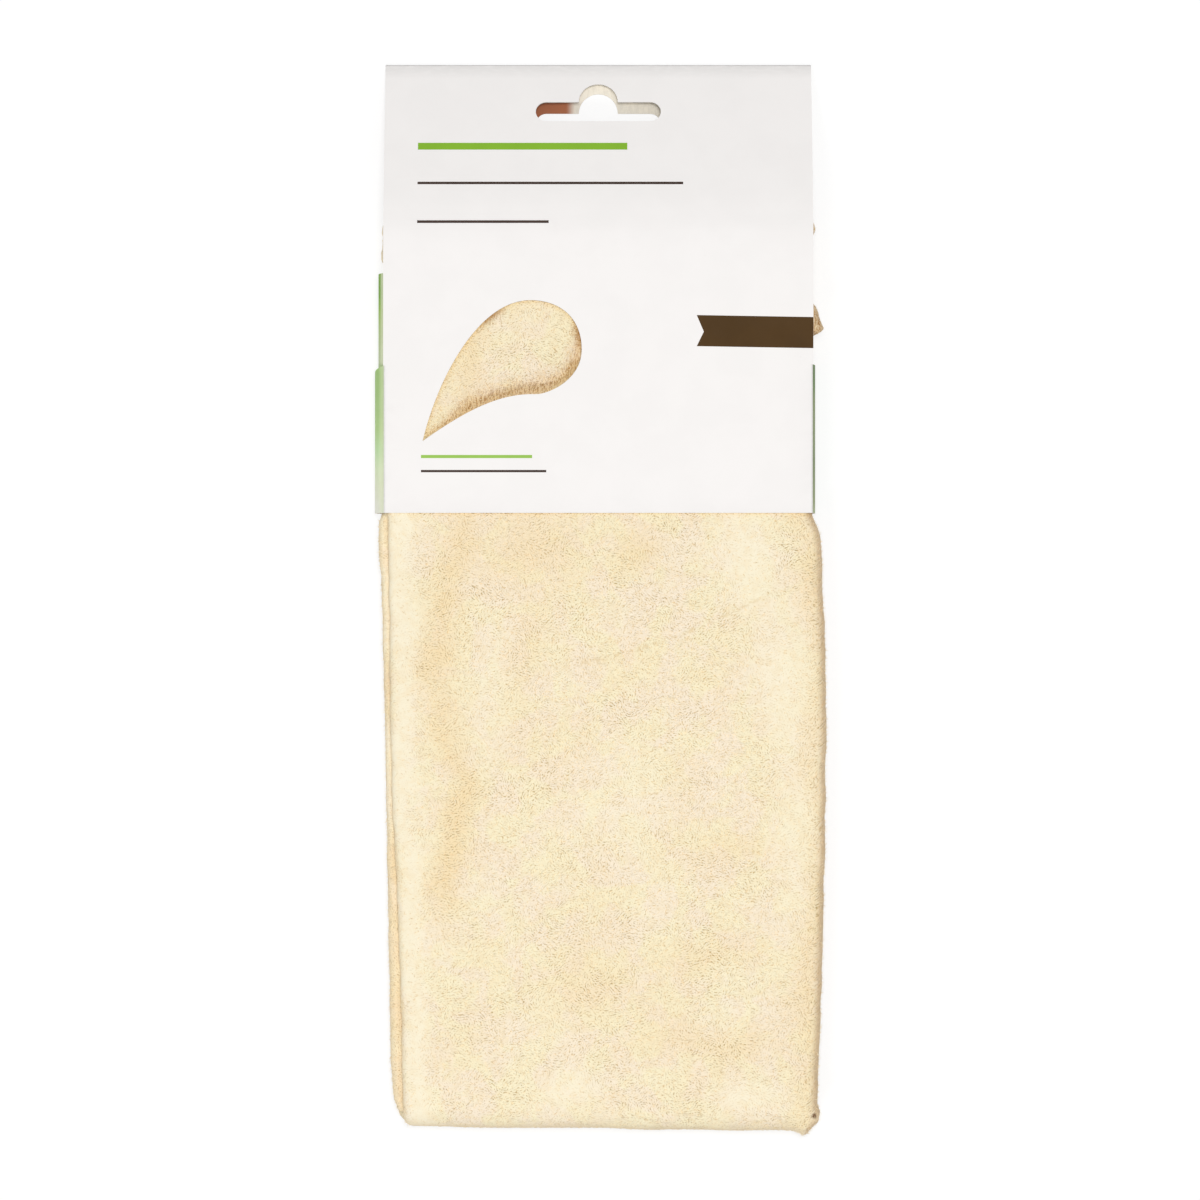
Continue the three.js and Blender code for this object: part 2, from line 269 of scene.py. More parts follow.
card = {
    "board": 0.4,
    "level": 66.9,            # from the mouth to where the header begins to bend down
    "shoulderRadius": 45,
    "topFoldRadius": 0.5,
    "creaseRadius": 0.5,
    "rightWallLength": 37.7,
    "rightWallBow": 0.75,
    "leftWallLength": 61,
    "leftWallBow": 1.65,
    "leftWallHead": (0.2, 0.9),   # how far its free edge leans in and ends short
    "flapLength": 37.4,
    "flapBow": 2.05,
    "flapShift": 0.75,            # how far its free edge stands off the wall
    "flapBevel": 3,
    "slot": (32, 10.3, 5.3),      # euro slot: width, height, height of its arms
    "frontSlotMargin": 5.4,       # along the board from the top fold
    "backSlotMargin": 7.5,
    "window": (40.4, 35.8),
    "windowTip": (10, 18.2),      # from the left edge and from the mouth
    "ribbon": (29.6, 41.8, 50.2), # length, and its two edges above the mouth
    "ribbonLean": 0.5,            # it is printed a little askew
    "ribbonNotch": 1.8,
    "ribbonMargin": 0.02,         # keeps its right end off the blank's edge
    "insideBrown": (-8.4, -5.6, 84, 90),    # fades out to the right between the first two, and down
    "grid": 4.0,                  # spacing of the mesh
    "gridMargin": 1.5,
    "wallGrid": 2.2,
    "shoulderRows": 8,
    "foldRows": 12,
    "shadedFold": (1.0, 0.8),     # how much painted shade darkens the top fold, and over what width
    "shadedShoulder": (0.1, 1.2),
    "shadedCrease": (0.8, 2),     # here the width is in points of the bend
    # the window's curves from its tip round clockwise, as shares of its width and height
    "windowCurves": [
        (0.094, 0.447, 0.352, 1.0, 0.676, 1.0),
        (0.862, 1.0, 1.0, 0.878, 1.0, 0.649),
        (1.0, 0.435, 0.792, 0.331, 0.707, 0.333),
        (0.487, 0.341, 0.272, 0.219, 0.0, 0.0),
    ],
    # plain printed rules: left end from the card's left edge, height above the mouth along the board,
    # length, thickness and ink
    "printedRules": [
        (8.6, 93.6, 53.4, 1.9, "greenInk"),
        (8.6, 84.0, 67.6, 0.7, "darkInk"),
        (8.6, 73.6, 33.4, 0.7, "darkInk"),
        (9.6, 13.9, 28.2, 0.8, "paleGreenInk"),
        (9.6, 10.3, 31.8, 0.6, "darkInk"),
    ],
    # the green print of the sides against the share of the left wall's length above the mouth; the right
    # wall's ramp is painted darker and greyer, as painted shade
    "leftPrint": [
        (0.0, (255, 255, 242)), (0.10, (250, 255, 226)), (0.18, (240, 255, 212)), (0.26, (212, 246, 184)),
        (0.35, (194, 228, 148)), (0.43, (184, 220, 140)), (0.60, (174, 214, 128)), (0.63, (208, 222, 178)),
        (0.72, (198, 218, 156)), (0.79, (186, 214, 126)), (0.85, (162, 204, 76)), (0.91, (122, 178, 34)),
        (1.0, (124, 172, 44)),
    ],
    "rightPrintShaded": [
        (0.0, (190, 202, 158)), (0.05, (158, 172, 120)), (0.22, (130, 150, 98)), (0.34, (144, 162, 110)),
        (0.47, (142, 160, 104)), (0.53, (98, 132, 60)), (0.6, (98, 130, 64)),
    ],
}
halfBoard = card["board"] / 2


class Board:
    # the board's middle line along the packet, from the mouth over the top fold and back under
    def __init__(self):
        shoulder, fold = card["shoulderRadius"], card["topFoldRadius"]
        self.top = cardDepth - halfBoard
        self.shoulder = (card["level"], self.top - shoulder)
        self.fold = (cardLength - fold - halfBoard, fold + halfBoard)
        dy, dz = self.fold[0] - self.shoulder[0], self.fold[1] - self.shoulder[1]
        self.angle = math.asin((shoulder - fold) / math.hypot(dy, dz)) - math.atan2(dz, dy)
        self.slopeLength = math.sqrt(dy * dy + dz * dz - (shoulder - fold) ** 2)
        self.bends = np.cumsum([card["level"], shoulder * self.angle, self.slopeLength,
                                fold * (math.pi - self.angle), self.fold[0]])
        self.length = self.bends[-1]

    def at(self, s):
        # y, z and the outward normal at a distance along the board
        level, shoulderEnd, slopeEnd, foldEnd, _ = self.bends
        if s <= level:
            return s, self.top, 0.0, 1.0
        if s > foldEnd:
            return self.fold[0] - (s - foldEnd), halfBoard, 0.0, -1.0
        if s <= shoulderEnd:
            centre, radius, run = self.shoulder, card["shoulderRadius"], 0
            a = math.pi / 2 - (s - level) / radius
        else:
            centre, radius, run = self.fold, card["topFoldRadius"], max(slopeEnd - s, 0)
            a = math.pi / 2 - self.angle - max(s - slopeEnd, 0) / radius
        y = centre[0] + radius * math.cos(a) - run * math.cos(self.angle)
        z = centre[1] + radius * math.sin(a) + run * math.sin(self.angle)
        return y, z, math.cos(a), math.sin(a)


def arc(centreX, centreY, radius, start, end, steps):
    angles = [start + (end - start) * i / steps for i in range(steps + 1)]
    return [(centreX + radius * math.cos(a), centreY + radius * math.sin(a)) for a in angles]


def euroSlot(top, way):
    # way is 1 where the slot's top points along the board and -1 where it points back
    width, height, arm = card["slot"]
    endX, endRadius, humpRadius = width / 2 - arm / 2, arm / 2, height - arm
    right = arc(endX, -height + endRadius, endRadius, -math.pi / 2, math.pi / 2, 12)
    hump = arc(0, -humpRadius, humpRadius, 0, math.pi, 20)
    left = arc(-endX, -height + endRadius, endRadius, math.pi / 2, 1.5 * math.pi, 12)
    return [(x, top + way * y) for x, y in right + hump + left]


def dropWindow():
    width, height = card["window"]
    tipX, tipY = card["windowTip"][0] - cardWidth / 2, card["windowTip"][1]
    points = []
    start = Vector((0, 0, 0))
    for a, b, c, d, e, f in card["windowCurves"]:
        end = Vector((e, f, 0))
        points += geometry.interpolate_bezier(start, Vector((a, b, 0)), Vector((c, d, 0)), end, 25)[:-1]
        start = end
    return [(tipX + p.x * width, tipY + p.y * height) for p in points]


def ribbonOutline():
    length, low, high = card["ribbon"]
    lean = card["ribbonLean"]
    right = cardWidth / 2 - card["ribbonMargin"]
    left = right - length
    notch = (left + card["ribbonNotch"], (low + high) / 2)
    return [(left, low + lean), (right, low), (right, high - lean), (left, high), notch]


def boardOutline(board, rows, cuts):
    # round the flat blank: it stops at the crease where a wall hangs on it, and is full width elsewhere
    half = cardWidth / 2
    crease = half - halfBoard - card["creaseRadius"]
    end = board.length

    def between(low, high):
        return [low] + [s for s in cuts if low + 0.1 < s < high - 0.1] + [high]

    right = [(crease, y) for y in rows["right"]]
    right += [(half, s) for s in between(rows["right"][-1], end - rows["right"][-1])]
    right += [(crease, end - y) for y in reversed(rows["right"])]
    left = [(-crease, end - y) for y in rows["left"]]
    left += [(-half, s) for s in reversed(between(rows["flap"][-1], end - rows["left"][-1]))]
    left += [(-crease, y) for y in reversed(rows["flap"])]
    return right + left


def sleeveRows():
    # the rows of points along each wall
    rows = {}
    for wall, name in (("right", "rightWallLength"), ("left", "leftWallLength"), ("flap", "flapLength")):
        length = card[name]
        count = round(length / card["wallGrid"])
        rows[wall] = [length * i / count for i in range(count + 1)]
    return rows


def insideOf(outline, x, y):
    # counts how often the outline is crossed on the way out
    found = False
    for i, (x1, y1) in enumerate(outline):
        x2, y2 = outline[i - 1]
        if (y1 > y) != (y2 > y) and x < (x2 - x1) * (y - y1) / (y2 - y1) + x1:
            found = not found
    return found


def wallLine(side, low, high, bow, steps=14):
    # a wall's bowed middle line from low to high, each (x out, z), with normals
    half = (high[1] - low[1]) / 2
    radius = (half * half + bow * bow) / (2 * bow)
    reach = math.asin(half / radius)
    line = []
    for i in range(steps + 1):
        a = -reach + 2 * reach * i / steps
        share = (radius * math.sin(a) + half) / (2 * half)
        x = low[0] + (high[0] - low[0]) * share + radius * math.cos(a) - (radius - bow)
        line.append((side * x, low[1] + half + radius * math.sin(a), side * math.cos(a), math.sin(a)))
    return line


def creaseLine(side, top, steps=5):
    # the bend from a panel into a wall, from the panel's side; top is True at the front panel
    radius = card["creaseRadius"]
    x = cardWidth / 2 - halfBoard - radius
    z = cardDepth - halfBoard - radius if top else halfBoard + radius
    line = []
    for i in range(steps + 1):
        a = math.pi / 2 * (1 - i / steps)
        rise = math.sin(a) if top else -math.sin(a)
        line.append((side * (x + radius * math.cos(a)), z + radius * rise, side * math.cos(a), rise))
    return line


def flatBlank(board, rows, names):
    # the printed blank in the flat: its points, and each face with its ink
    # rows of points lie close together at the bends, and even between them
    step = card["grid"]
    shoulderStart, shoulderEnd, foldStart, foldEnd, _ = board.bends
    cuts = [*np.arange(step, shoulderStart, step),
            *np.linspace(shoulderStart, shoulderEnd, card["shoulderRows"]),
            *np.arange(shoulderEnd + step, foldStart - 1, step),
            *np.linspace(foldStart, foldEnd, card["foldRows"]),
            *np.arange(foldEnd + step, board.length - 1, step)]
    cuts = [float(s) for s in cuts]
    outline = boardOutline(board, rows, cuts)
    slots = [euroSlot(foldStart - card["frontSlotMargin"] + card["board"], 1),
             euroSlot(board.length - cardLength + card["backSlotMargin"], -1)]
    window = dropWindow()
    printed = [(ribbonOutline(), "brownInk")]      # a plain notched ribbon, and rules
    for left, up, length, thick, ink in card["printedRules"]:
        x = left - cardWidth / 2
        printed.append(([(x, up), (x + length, up), (x + length, up + thick), (x, up + thick)], ink))

    points, edges = [], []
    for loop in [outline, *slots, window, *(shape for shape, _ in printed)]:
        first = len(points)
        points += loop
        edges += [(first + i, first + (i + 1) % len(loop)) for i in range(len(loop))]
    inner = np.arange(-cardWidth / 2 + card["gridMargin"], cardWidth / 2 - 1, step)
    points += [(float(x), s) for s in cuts for x in inner]
    vectors = [Vector(p) for p in points]
    verts, _, faces, _, _, _ = geometry.delaunay_2d_cdt(vectors, edges, [], 0, 1e-4)

    kept = []
    for face in faces:
        x = sum(verts[i].x for i in face) / 3
        y = sum(verts[i].y for i in face) / 3
        if insideOf(outline, x, y) and not any(insideOf(hole, x, y) for hole in [*slots, window]):
            ink = 0
            for shape, name in printed:
                if insideOf(shape, x, y):
                    ink = names.index(name)
            kept.append((tuple(face), ink))
    return verts, kept


def bendBlank(board, rows, names):
    # the blank led round its bends, and the walls and the flap hung on it
    verts, kept = flatBlank(board, rows, names)
    places, normals, bendShade = [], [], []
    shoulder, fold = sum(board.bends[:2]) / 2, sum(board.bends[2:4]) / 2
    shadedBends = [(shoulder, *card["shadedShoulder"]), (fold, *card["shadedFold"])]
    creaseShade, creaseWidth = card["shadedCrease"]
    for v in verts:
        y, z, ny, nz = board.at(v.y)
        places.append((cardMidX + v.x, mouthY + y, z))
        normals.append((0.0, ny, nz))
        # painted shade along the shoulder and the top fold
        bendShade.append(max(share * bell(v.y - middle, width) for middle, share, width in shadedBends))
    green = names.index("greenSide")

    def addWall(line, ys, flip, creaseLast=False):
        # each wall begins with a crease that it shares with a panel, and the right one ends with one too
        first = len(places)
        count = len(line)
        for y in ys:
            for i, (x, z, nx, nz) in enumerate(line):
                places.append((cardMidX + x, mouthY + (y(z) if callable(y) else y), z))
                normals.append((nx, 0.0, nz))
                # painted shade along the crease at the wall's start, and at the right wall's end
                shadeShare = bell(i - 3, creaseWidth) + bell(count - 4 - i, creaseWidth) * creaseLast
                bendShade.append(creaseShade * shadeShare)
        for j in range(len(ys) - 1):
            for i in range(count - 1):
                a = first + j * count + i
                quad = (a, a + 1, a + 1 + count, a + count)
                ink = 0 if i < 3 or (creaseLast and i > count - 5) else green
                kept.append((quad[::-1] if flip else quad, ink))

    wallX = cardWidth / 2 - halfBoard
    footZ = halfBoard + card["creaseRadius"]
    headZ = cardDepth - halfBoard - card["creaseRadius"]
    right = wallLine(1, (wallX, footZ), (wallX, headZ), card["rightWallBow"])
    right = creaseLine(1, True) + right[::-1][1:-1] + creaseLine(1, False)[::-1]
    addWall(right, rows["right"], False, True)
    leanIn, short = card["leftWallHead"]
    left = wallLine(-1, (wallX, footZ), (wallX - leanIn, headZ - short), card["leftWallBow"])
    addWall(creaseLine(-1, False) + left[1:], rows["left"], False)
    flapFoot = (wallX + card["flapShift"], footZ)
    flap = wallLine(-1, flapFoot, (wallX, headZ), card["flapBow"])
    bevelShare = card["flapBevel"] / card["flapLength"]

    def flapRow(y):
        # the flap's free corner is cut back, so its rows draw in towards the foot
        return lambda z: y * (1 - bevelShare * max(headZ - z, 0) / headZ)

    addWall(creaseLine(-1, True) + flap[::-1][1:], [flapRow(y) for y in rows["flap"]], True)
    return np.array(places), np.array(normals), bendShade, kept


def makeSleeve(materials):
    names = [material.name for material in materials]
    places, normals, bendShade, kept = bendBlank(Board(), sleeveRows(), names)
    # both faces of the board
    count = len(places)
    both = np.vstack([places + normals * halfBoard, places - normals * halfBoard])
    polys = kept + [(tuple(i + count for i in face[::-1]), names.index("rawBoard")) for face, _ in kept]
    mesh = bpy.data.meshes.new("cardSleeve")
    mesh.from_pydata([tuple(p * mm) for p in both], [], [face for face, _ in polys])
    mesh.polygons.foreach_set("material_index", [ink for _, ink in polys])
    storeValues(mesh, "bendShade", bendShade * 2)
    for material in materials:
        mesh.materials.append(material)
    # and its cut edges
    work = bmesh.new()
    work.from_mesh(mesh)
    work.verts.ensure_lookup_table()
    rims = {}
    for edge in work.edges:
        if len(edge.link_loops) == 1 and edge.verts[0].index < count:
            corner = edge.link_loops[0]
            a, b = corner.vert.index, corner.link_loop_next.vert.index
            rims[tuple(tuple(round(c, 3) for c in places[v]) for v in (a, b))] = (a, b)
    for (start, end), (a, b) in rims.items():
        if (end, start) not in rims:      # else a crease, where a wall's mesh meets the panel's
            face = work.faces.new([work.verts[i] for i in (b, a, a + count, b + count)])
            face.material_index = names.index("cutEdge")
    bmesh.ops.remove_doubles(work, verts=work.verts, dist=0.004 * mm)
    bmesh.ops.recalc_face_normals(work, faces=work.faces)
    work.to_mesh(mesh)
    openEdges = sum(1 for e in work.edges if len(e.link_faces) != 2)
    print("sleeve: faces", len(work.faces), "edges that aren't between two faces", openEdges)
    work.free()
    mesh.shade_smooth()
    mesh.set_sharp_from_angle(angle=math.radians(40))
    return addObject("card_sleeve", mesh)


def coatedBoard(name, base, mottle=0.985, roughness=0.6):
    material, shader, place = newMaterial(name)
    cloud = spread(grain(place, 9, 3), 0.35, 0.65)
    tint = mixColour(cloud, darker(base, mottle), base)
    # painted shade along the board's bends, broken up by stretched grain
    bendShade = addNode(place, "Attribute", attribute_name="bendShade").outputs["Fac"]
    shadeShare = spread(grain(place, 0.8, 3, 0, (0.3, 1, 1)), 0.25, 0.6, 0.55, 1.0)
    tint = mixColour(times(bendShade, shadeShare), tint, darker(base, 0.74))
    rough = spread(grain(place, 4, 2), 0.3, 0.7, roughness - 0.02, roughness + 0.02)
    bump = relief(grain(place, 0.35, 3), 0.12, 0.05)
    feed(shader, {"Base Color": tint, "Roughness": rough, "Specular IOR Level": 0.1, "Normal": bump})
    return material


def greenSideBoard():
    # green print that fades to white down the sides, over the flap as over the wall behind it
    material, shader, place = newMaterial("greenSide")
    x, y, z = axes(place)
    wallEnd = mouthY + card["leftWallLength"]
    height = node("MapRange", {"Value": y, "From Min": mouthY * mm, "From Max": wallEnd * mm})

    def ramp(shades):
        made = node("ValToRGB", {"Fac": height.outputs[0]})
        stops = made.color_ramp.elements
        stops[0].position, stops[0].color = shades[0][0], colour(*shades[0][1])
        stops[1].position, stops[1].color = shades[-1][0], colour(*shades[-1][1])
        for share, shade in shades[1:-1]:
            stops.new(share).color = colour(*shade)
        return made.outputs[0]

    # the right wall faces away from the light: its green takes the darker ramp, as painted shade
    shadedRightSide = reckon("GREATER_THAN", x, 0.0)
    tint = mixColour(shadedRightSide, ramp(card["leftPrint"]), ramp(card["rightPrintShaded"]))
    # towards the front panel the print thins out, on the wall beyond the flap more than on the flap
    thin = spread(z, 11.5 * mm, 14.4 * mm, 0.0, 0.5)
    flapEnd = mouthY + card["flapLength"]
    beyond = spread(y, flapEnd * mm, (flapEnd + 0.6) * mm)
    beyond = times(beyond, spread(z, 10.4 * mm, 12.2 * mm, 0.0, 0.7))
    thin = times(most(thin, beyond), reckon("SUBTRACT", 1.0, shadedRightSide))
    tint = mixColour(thin, tint, colour(244, 252, 214))
    cloud = spread(grain(place, 5, 3), 0.35, 0.65)
    tint = mixColour(cloud, tint, mixColour(1.0, tint, (0.95, 0.96, 0.92, 1), "MULTIPLY"))
    bump = relief(grain(place, 0.35, 3), 0.12, 0.05)
    feed(shader, {"Base Color": tint, "Roughness": 0.5, "Specular IOR Level": 0.15, "Normal": bump})
    return material


def rawBoard(name, base, brown=False):
    material, shader, place = newMaterial(name)
    fibre = spread(grain(place, 0.9, 4, 0.6, (1, 0.35, 1)), 0.35, 0.7)
    tint = mixColour(fibre, base, darker(base, 0.9))
    if brown:
        # the inside of the header's left half is painted brown, fading out to the middle
        x, y, _ = axes(place)
        full, faded, low, high = card["insideBrown"]
        left = fall(x, (cardMidX + full) * mm, (cardMidX + faded) * mm)
        high = spread(y, (mouthY + low) * mm, (mouthY + high) * mm)
        tint = mixColour(times(left, high), tint, colour(182, 112, 76))
    bump = relief(grain(place, 0.3, 4), 0.3, 0.06)
    feed(shader, {"Base Color": tint, "Roughness": 0.8, "Normal": bump})
    return material


def sleeveMaterials():
    # the first one is for whatever carries no ink
    return [
        coatedBoard("whiteFace", colour(251, 248, 246)),
        coatedBoard("brownInk", colour(79, 56, 27), 0.9),
        coatedBoard("greenInk", colour(140, 190, 56), 0.95),
        coatedBoard("paleGreenInk", colour(160, 204, 92), 0.95),
        coatedBoard("darkInk", colour(74, 60, 54), 0.9),
        greenSideBoard(),
        rawBoard("rawBoard", colour(254, 247, 232), True),
        rawBoard("cutEdge", colour(232, 226, 216)),
    ]


# the leather: one skin, folded in four lengthwise and in half across

chamois = {
    "skin": 1.3,
    "layerGap": 0.45,
    "middleGap": 0.25,
    "shown": 156.2,             # from the mouth down to the lower fold, at the left corner
    "hidden": 73.1,
    "halfWidth": 57.5,
    "packetOffset": 0.6,        # from the card's middle to the packet's
    "cutInset": 1.2,            # how far the cut edges lie inside the wrap on the right
    "stagger": 3,               # each inner layer starts that much higher, all together
    "staggerFrom": 48,          # and does so from this height above the mouth
    "slant": 1.6,               # the lower fold hangs lower on the right
    "peak": (52.4, 1.8, 2.0),   # and has a point there: place, depth and width
    "foldWave": (0.5, 16),      # height and length of its waves
    "lowerOffset": 1.5,         # the lower half's fold lies further out near the lower left corner
    "ceiling": 14.3,
    "floorGap": 0.3,            # under the packet, over the back panel
    "mouthPinch": (11, 0.7),    # how far below the mouth the sleeve's hold begins and is full
    "puckers": [(0.35, 34, 1), (0.12, 9, 2)],   # the top's soft waves: height, length and seed
    "droop": (1.1, -44, -54),   # towards the left fold: depth, start and end
    "headDip": (0.5, 58, 72),   # and under the header
    "windowDip": (1.0, 24),     # the skin sinks under the window: depth and reach
    "rimDip": (1.5, 6, 0.8),    # and more just above the window's lower rim: depth, reach and rise
    "foldPower": 0.78,          # below 1 the lower fold is squarer than round
    "cornerPower": 0.9,         # and above 0 the corner under the wrap is
    "flat": (0.435, 0.456),     # the skin laid out, in metres
    "frontStep": 1.5,           # rows of the mesh
    "backStep": 4,
    "closeRows": (200.2, 228.4, 0.55),  # up from the lower fold: first, last and step
    "rowGap": 0.4,                      # least distance from them to the even rows
    "foldSteps": 26,
    # the edges' little waves: height, length and place in the noise
    "edgeWaves": {"outerLeft": (0.25, 6, 3.1), "innerLeft": (0.25, 5, 7.7), "right": (0.3, 5, 1.3)},
}

# half widths of the packet against the distance up from the lower fold, in millimetres:
# the outer fold on the left, the inner fold beyond it, and the wrap on the right
packetEdges = {
    "outerLeft": [
        (0, 48.8), (0.3, 49.6), (1.2, 50.2), (30, 50.7), (68, 52.1), (79, 52.9), (108, 53.6), (132, 53.7),
        (157, 54.2), (192, 54.0), (215, 54.3), (229, 54.4)],
    "innerLeft": [
        (0, 51.9), (2, 52.2), (6, 52.6), (10, 53.0), (16, 53.5), (25, 53.7), (50, 54.1), (80, 54.6),
        (100, 55.0), (125, 55.5), (140, 56.0), (146, 56.5), (154.7, 56.6), (156.0, 55.5),
        (210, 55.2), (217.9, 54.9), (219.1, 55.9), (221.3, 56.0), (222.4, 55.0), (224.1, 55.0),
        (225.2, 55.7), (226.9, 55.8), (229, 55.0)],
    "right": [
        (0, 52.5), (0.8, 53.0), (3.0, 54.9), (4.6, 55.7), (8, 55.2), (12, 55.2), (23, 55.8), (50, 56.6),
        (68, 57.0), (105, 57.4), (128, 57.1), (134, 56.5), (146.5, 56.3), (150, 56.0), (152, 55.4),
        (154.4, 54.3), (155.8, 53.6), (194, 53.6), (201.0, 53.7), (201.6, 54.5), (202.2, 56.0),
        (203.2, 56.8), (205.4, 55.9), (207.7, 55.3), (208.8, 54.6), (209.6, 53.9), (225, 53.7),
        (227, 54.6), (229, 54.0)],
}

# the points across one half of the packet, from the cut edge inside to the other one
sectionRuns = [("layer2", 8), ("outerFold", 8), ("layer1", 76), ("wrap", 16),
               ("layer4", 12), ("innerFold", 8), ("layer3", 8)]


def edgeWidth(name, along):
    return np.interp(along, *zip(*packetEdges[name]))


def wavyWidth(name, along, turn):
    height, length, row = chamois["edgeWaves"][name]
    return edgeWidth(name, along) + height * noise.noise(Vector((row, along / length, turn)))


class Packet:
    def __init__(self):
        skin, pitch = chamois["skin"], chamois["skin"] + chamois["layerGap"]
        self.levels = [chamois["middleGap"] + skin / 2 + k * pitch for k in (3, 2, 1, 0)]
        self.radius = self.levels[0] + skin / 2
        self.sideRadius = pitch / 2
        self.wrapRadius = (self.levels[0] - self.levels[3]) / 2
        self.middleX = cardMidX + chamois["packetOffset"]
        self.lowestY = mouthY - chamois["shown"]
        self.length = chamois["shown"] + chamois["hidden"]

    def section(self, outer, inner, right):
        # across, level and the outward direction of each point of the skin's middle
        layer1, layer2, layer3, layer4 = self.levels
        edge = chamois["skin"] / 2
        outerX, innerX = self.sideRadius + edge - outer, self.sideRadius + edge - inner
        wrapX = right - self.wrapRadius - edge
        cutX = wrapX - chamois["cutInset"]
        flats = {"layer2": (cutX, outerX, layer2, -1), "layer1": (outerX, wrapX, layer1, 1),
                 "layer4": (wrapX, innerX, layer4, -1), "layer3": (innerX, cutX, layer3, 1)}
        folds = {"outerFold": (outerX, (layer1 + layer2) / 2, self.sideRadius, 1.5 * math.pi),
                 "innerFold": (innerX, (layer3 + layer4) / 2, self.sideRadius, 1.5 * math.pi),
                 "wrap": (wrapX, (layer1 + layer4) / 2, self.wrapRadius, math.pi / 2)}
        points = []
        for name, count in sectionRuns:
            for i in range(count):
                if name in flats:
                    start, end, level, up = flats[name]
                    points.append((start + (end - start) * i / count, level, 0.0, up))
                else:
                    x, level, radius, start = folds[name]
                    a = start - math.pi * i / count
                    out, up = math.cos(a), math.sin(a)
                    points.append((x + radius * out, level + radius * up, out, up))
        return [*points, (cutX, layer3, 0.0, 1)]

    def stations(self):
        # down the front, round the lower fold and up the back: y, and how far the skin has turned
        foldY = self.lowestY + self.radius
        rise = self.length - self.radius
        down, up = round(rise / chamois["frontStep"]), round(rise / chamois["backStep"])
        evenly = foldY + rise * (1 - np.arange(down) / down)
        # the corner and the bits that stick out are small and take rows closer together
        low, high, step = chamois["closeRows"]
        low, high, gap = self.lowestY + low, self.lowestY + high, chamois["rowGap"]
        evenly = evenly[(evenly < low - gap) | (evenly > high + gap)]
        front = sorted([*evenly, *np.arange(low, high, step)], reverse=True)
        front = [(float(y), 0.0) for y in front]
        steps = chamois["foldSteps"]
        fold = [(foldY, math.pi * i / steps) for i in range(steps + 1)]
        return front + fold + [(foldY + rise * i / up, math.pi) for i in range(1, up + 1)]


def makeLeather(material):
    packet = Packet()
    rows = []
    stations = packet.stations()
    for y, turn in stations:
        along = y - packet.lowestY - packet.radius * abs(math.sin(turn)) ** chamois["foldPower"]
        outer, inner, right = (wavyWidth(name, along, turn) for name in packetEdges)
        below = smoothstep(1.3, 1.9, turn) * smoothstep(-1.5, 2.5, along) * (1 - smoothstep(12, 30, along))
        outer += chamois["lowerOffset"] * below
        wrapX = right - packet.wrapRadius - chamois["skin"] / 2
        rows += [(*point, wrapX, y, turn) for point in packet.section(outer, inner, right)]
    across, level, outX, outUp, wrapX, y, turn = np.array(rows).T
    lower = np.abs(np.sin(turn)) ** chamois["foldPower"]
    upper = np.sign(np.cos(turn)) * np.abs(np.cos(turn)) ** chamois["foldPower"]
    both = []
    for side in (0.5, -0.5):
        x = across + side * outX * chamois["skin"]
        height = level + side * outUp * chamois["skin"]
        # seen from above, the corner of wrap and lower fold is pushed out from round to square
        u, v = (x - wrapX) / packet.wrapRadius, height * lower / packet.wrapRadius
        reach = (np.hypot(u, v) / np.maximum(np.maximum(u, v), 0.01)) ** chamois["cornerPower"]
        reach = np.where((u > 0) & (v > 0), reach, 1)
        x = np.where(u > 0, wrapX + (x - wrapX) * reach, x)
        both.append(np.stack([x, y - height * lower * reach, height * upper, height], axis=1))
    places = placeSkin(np.stack(both, axis=1).reshape(-1, 4), packet)
    mesh = skinMesh(places, len(stations), len(rows) // len(stations))
    smooth = paintTones(mesh, places, packet)
    markNap(mesh, places, smooth, len(stations))
    mesh.materials.append(material)
    print("leather: vertices", len(mesh.vertices), "faces", len(mesh.polygons))
    return addObject("chamois_skin", mesh)


def placeSkin(regular, packet):
    # from the regular packet to where the skin really lies
    x, y, height, level = regular.T
    share = (height + packet.radius) / (2 * packet.radius)
    outside = 1 - smoothstep(*(mouthY - v for v in chamois["mouthPinch"]), y)
    floor = (card["board"] + chamois["floorGap"]) * (1 - outside)
    flat = np.stack([x, y, np.zeros_like(x)], axis=1)
    waves = sum(rise * noiseAt(flat, size, seed) for rise, size, seed in chamois["puckers"])
    ceiling = chamois["ceiling"] + outside * waves
    depth, start, end = chamois["droop"]
    ceiling -= outside * depth * smoothstep(start, end, x)
    depth, start, end = chamois["headDip"]
    ceiling -= depth * smoothstep(mouthY + start, mouthY + end, y)
    rim = dropWindow()
    lowerRim = [(px - chamois["packetOffset"], mouthY + py) for px, py in rim[len(rim) // 2 + 4:-9]]
    middle = np.mean(rim, axis=0)
    depth, reach = chamois["windowDip"]
    ceiling -= depth * bell(np.hypot(x - middle[0], y - mouthY - middle[1]), reach)
    depth, reach, rise = chamois["rimDip"]
    away = np.min([np.hypot(x - px, y - py - rise) for px, py in lowerRim], axis=0)
    ceiling -= depth * bell(away, reach)
    # the lower fold hangs lower on the right, and waves
    nearFold = 1 - smoothstep(packet.lowestY, packet.lowestY + chamois["shown"] / 2, y)
    lowered = chamois["slant"] * (x / chamois["halfWidth"] + 1) / 2 * nearFold
    atFold = 1 - smoothstep(packet.lowestY, packet.lowestY + packet.radius, y)
    peakX, depth, width = chamois["peak"]
    lowered = lowered + depth * bell(x - peakX, width) * atFold
    rise, size = chamois["foldWave"]
    lowered = lowered + rise * atFold * np.array([noise.noise(Vector((v / size, 4.4, 0))) for v in x])
    # and the inner layers' upper ends lie higher
    stagger = chamois["stagger"] * (1 - level / packet.radius)
    stagger = stagger * smoothstep(mouthY + chamois["staggerFrom"], mouthY + chamois["hidden"], y)
    return np.stack([x + packet.middleX, y - lowered + stagger, floor + (ceiling - floor) * share], axis=1)


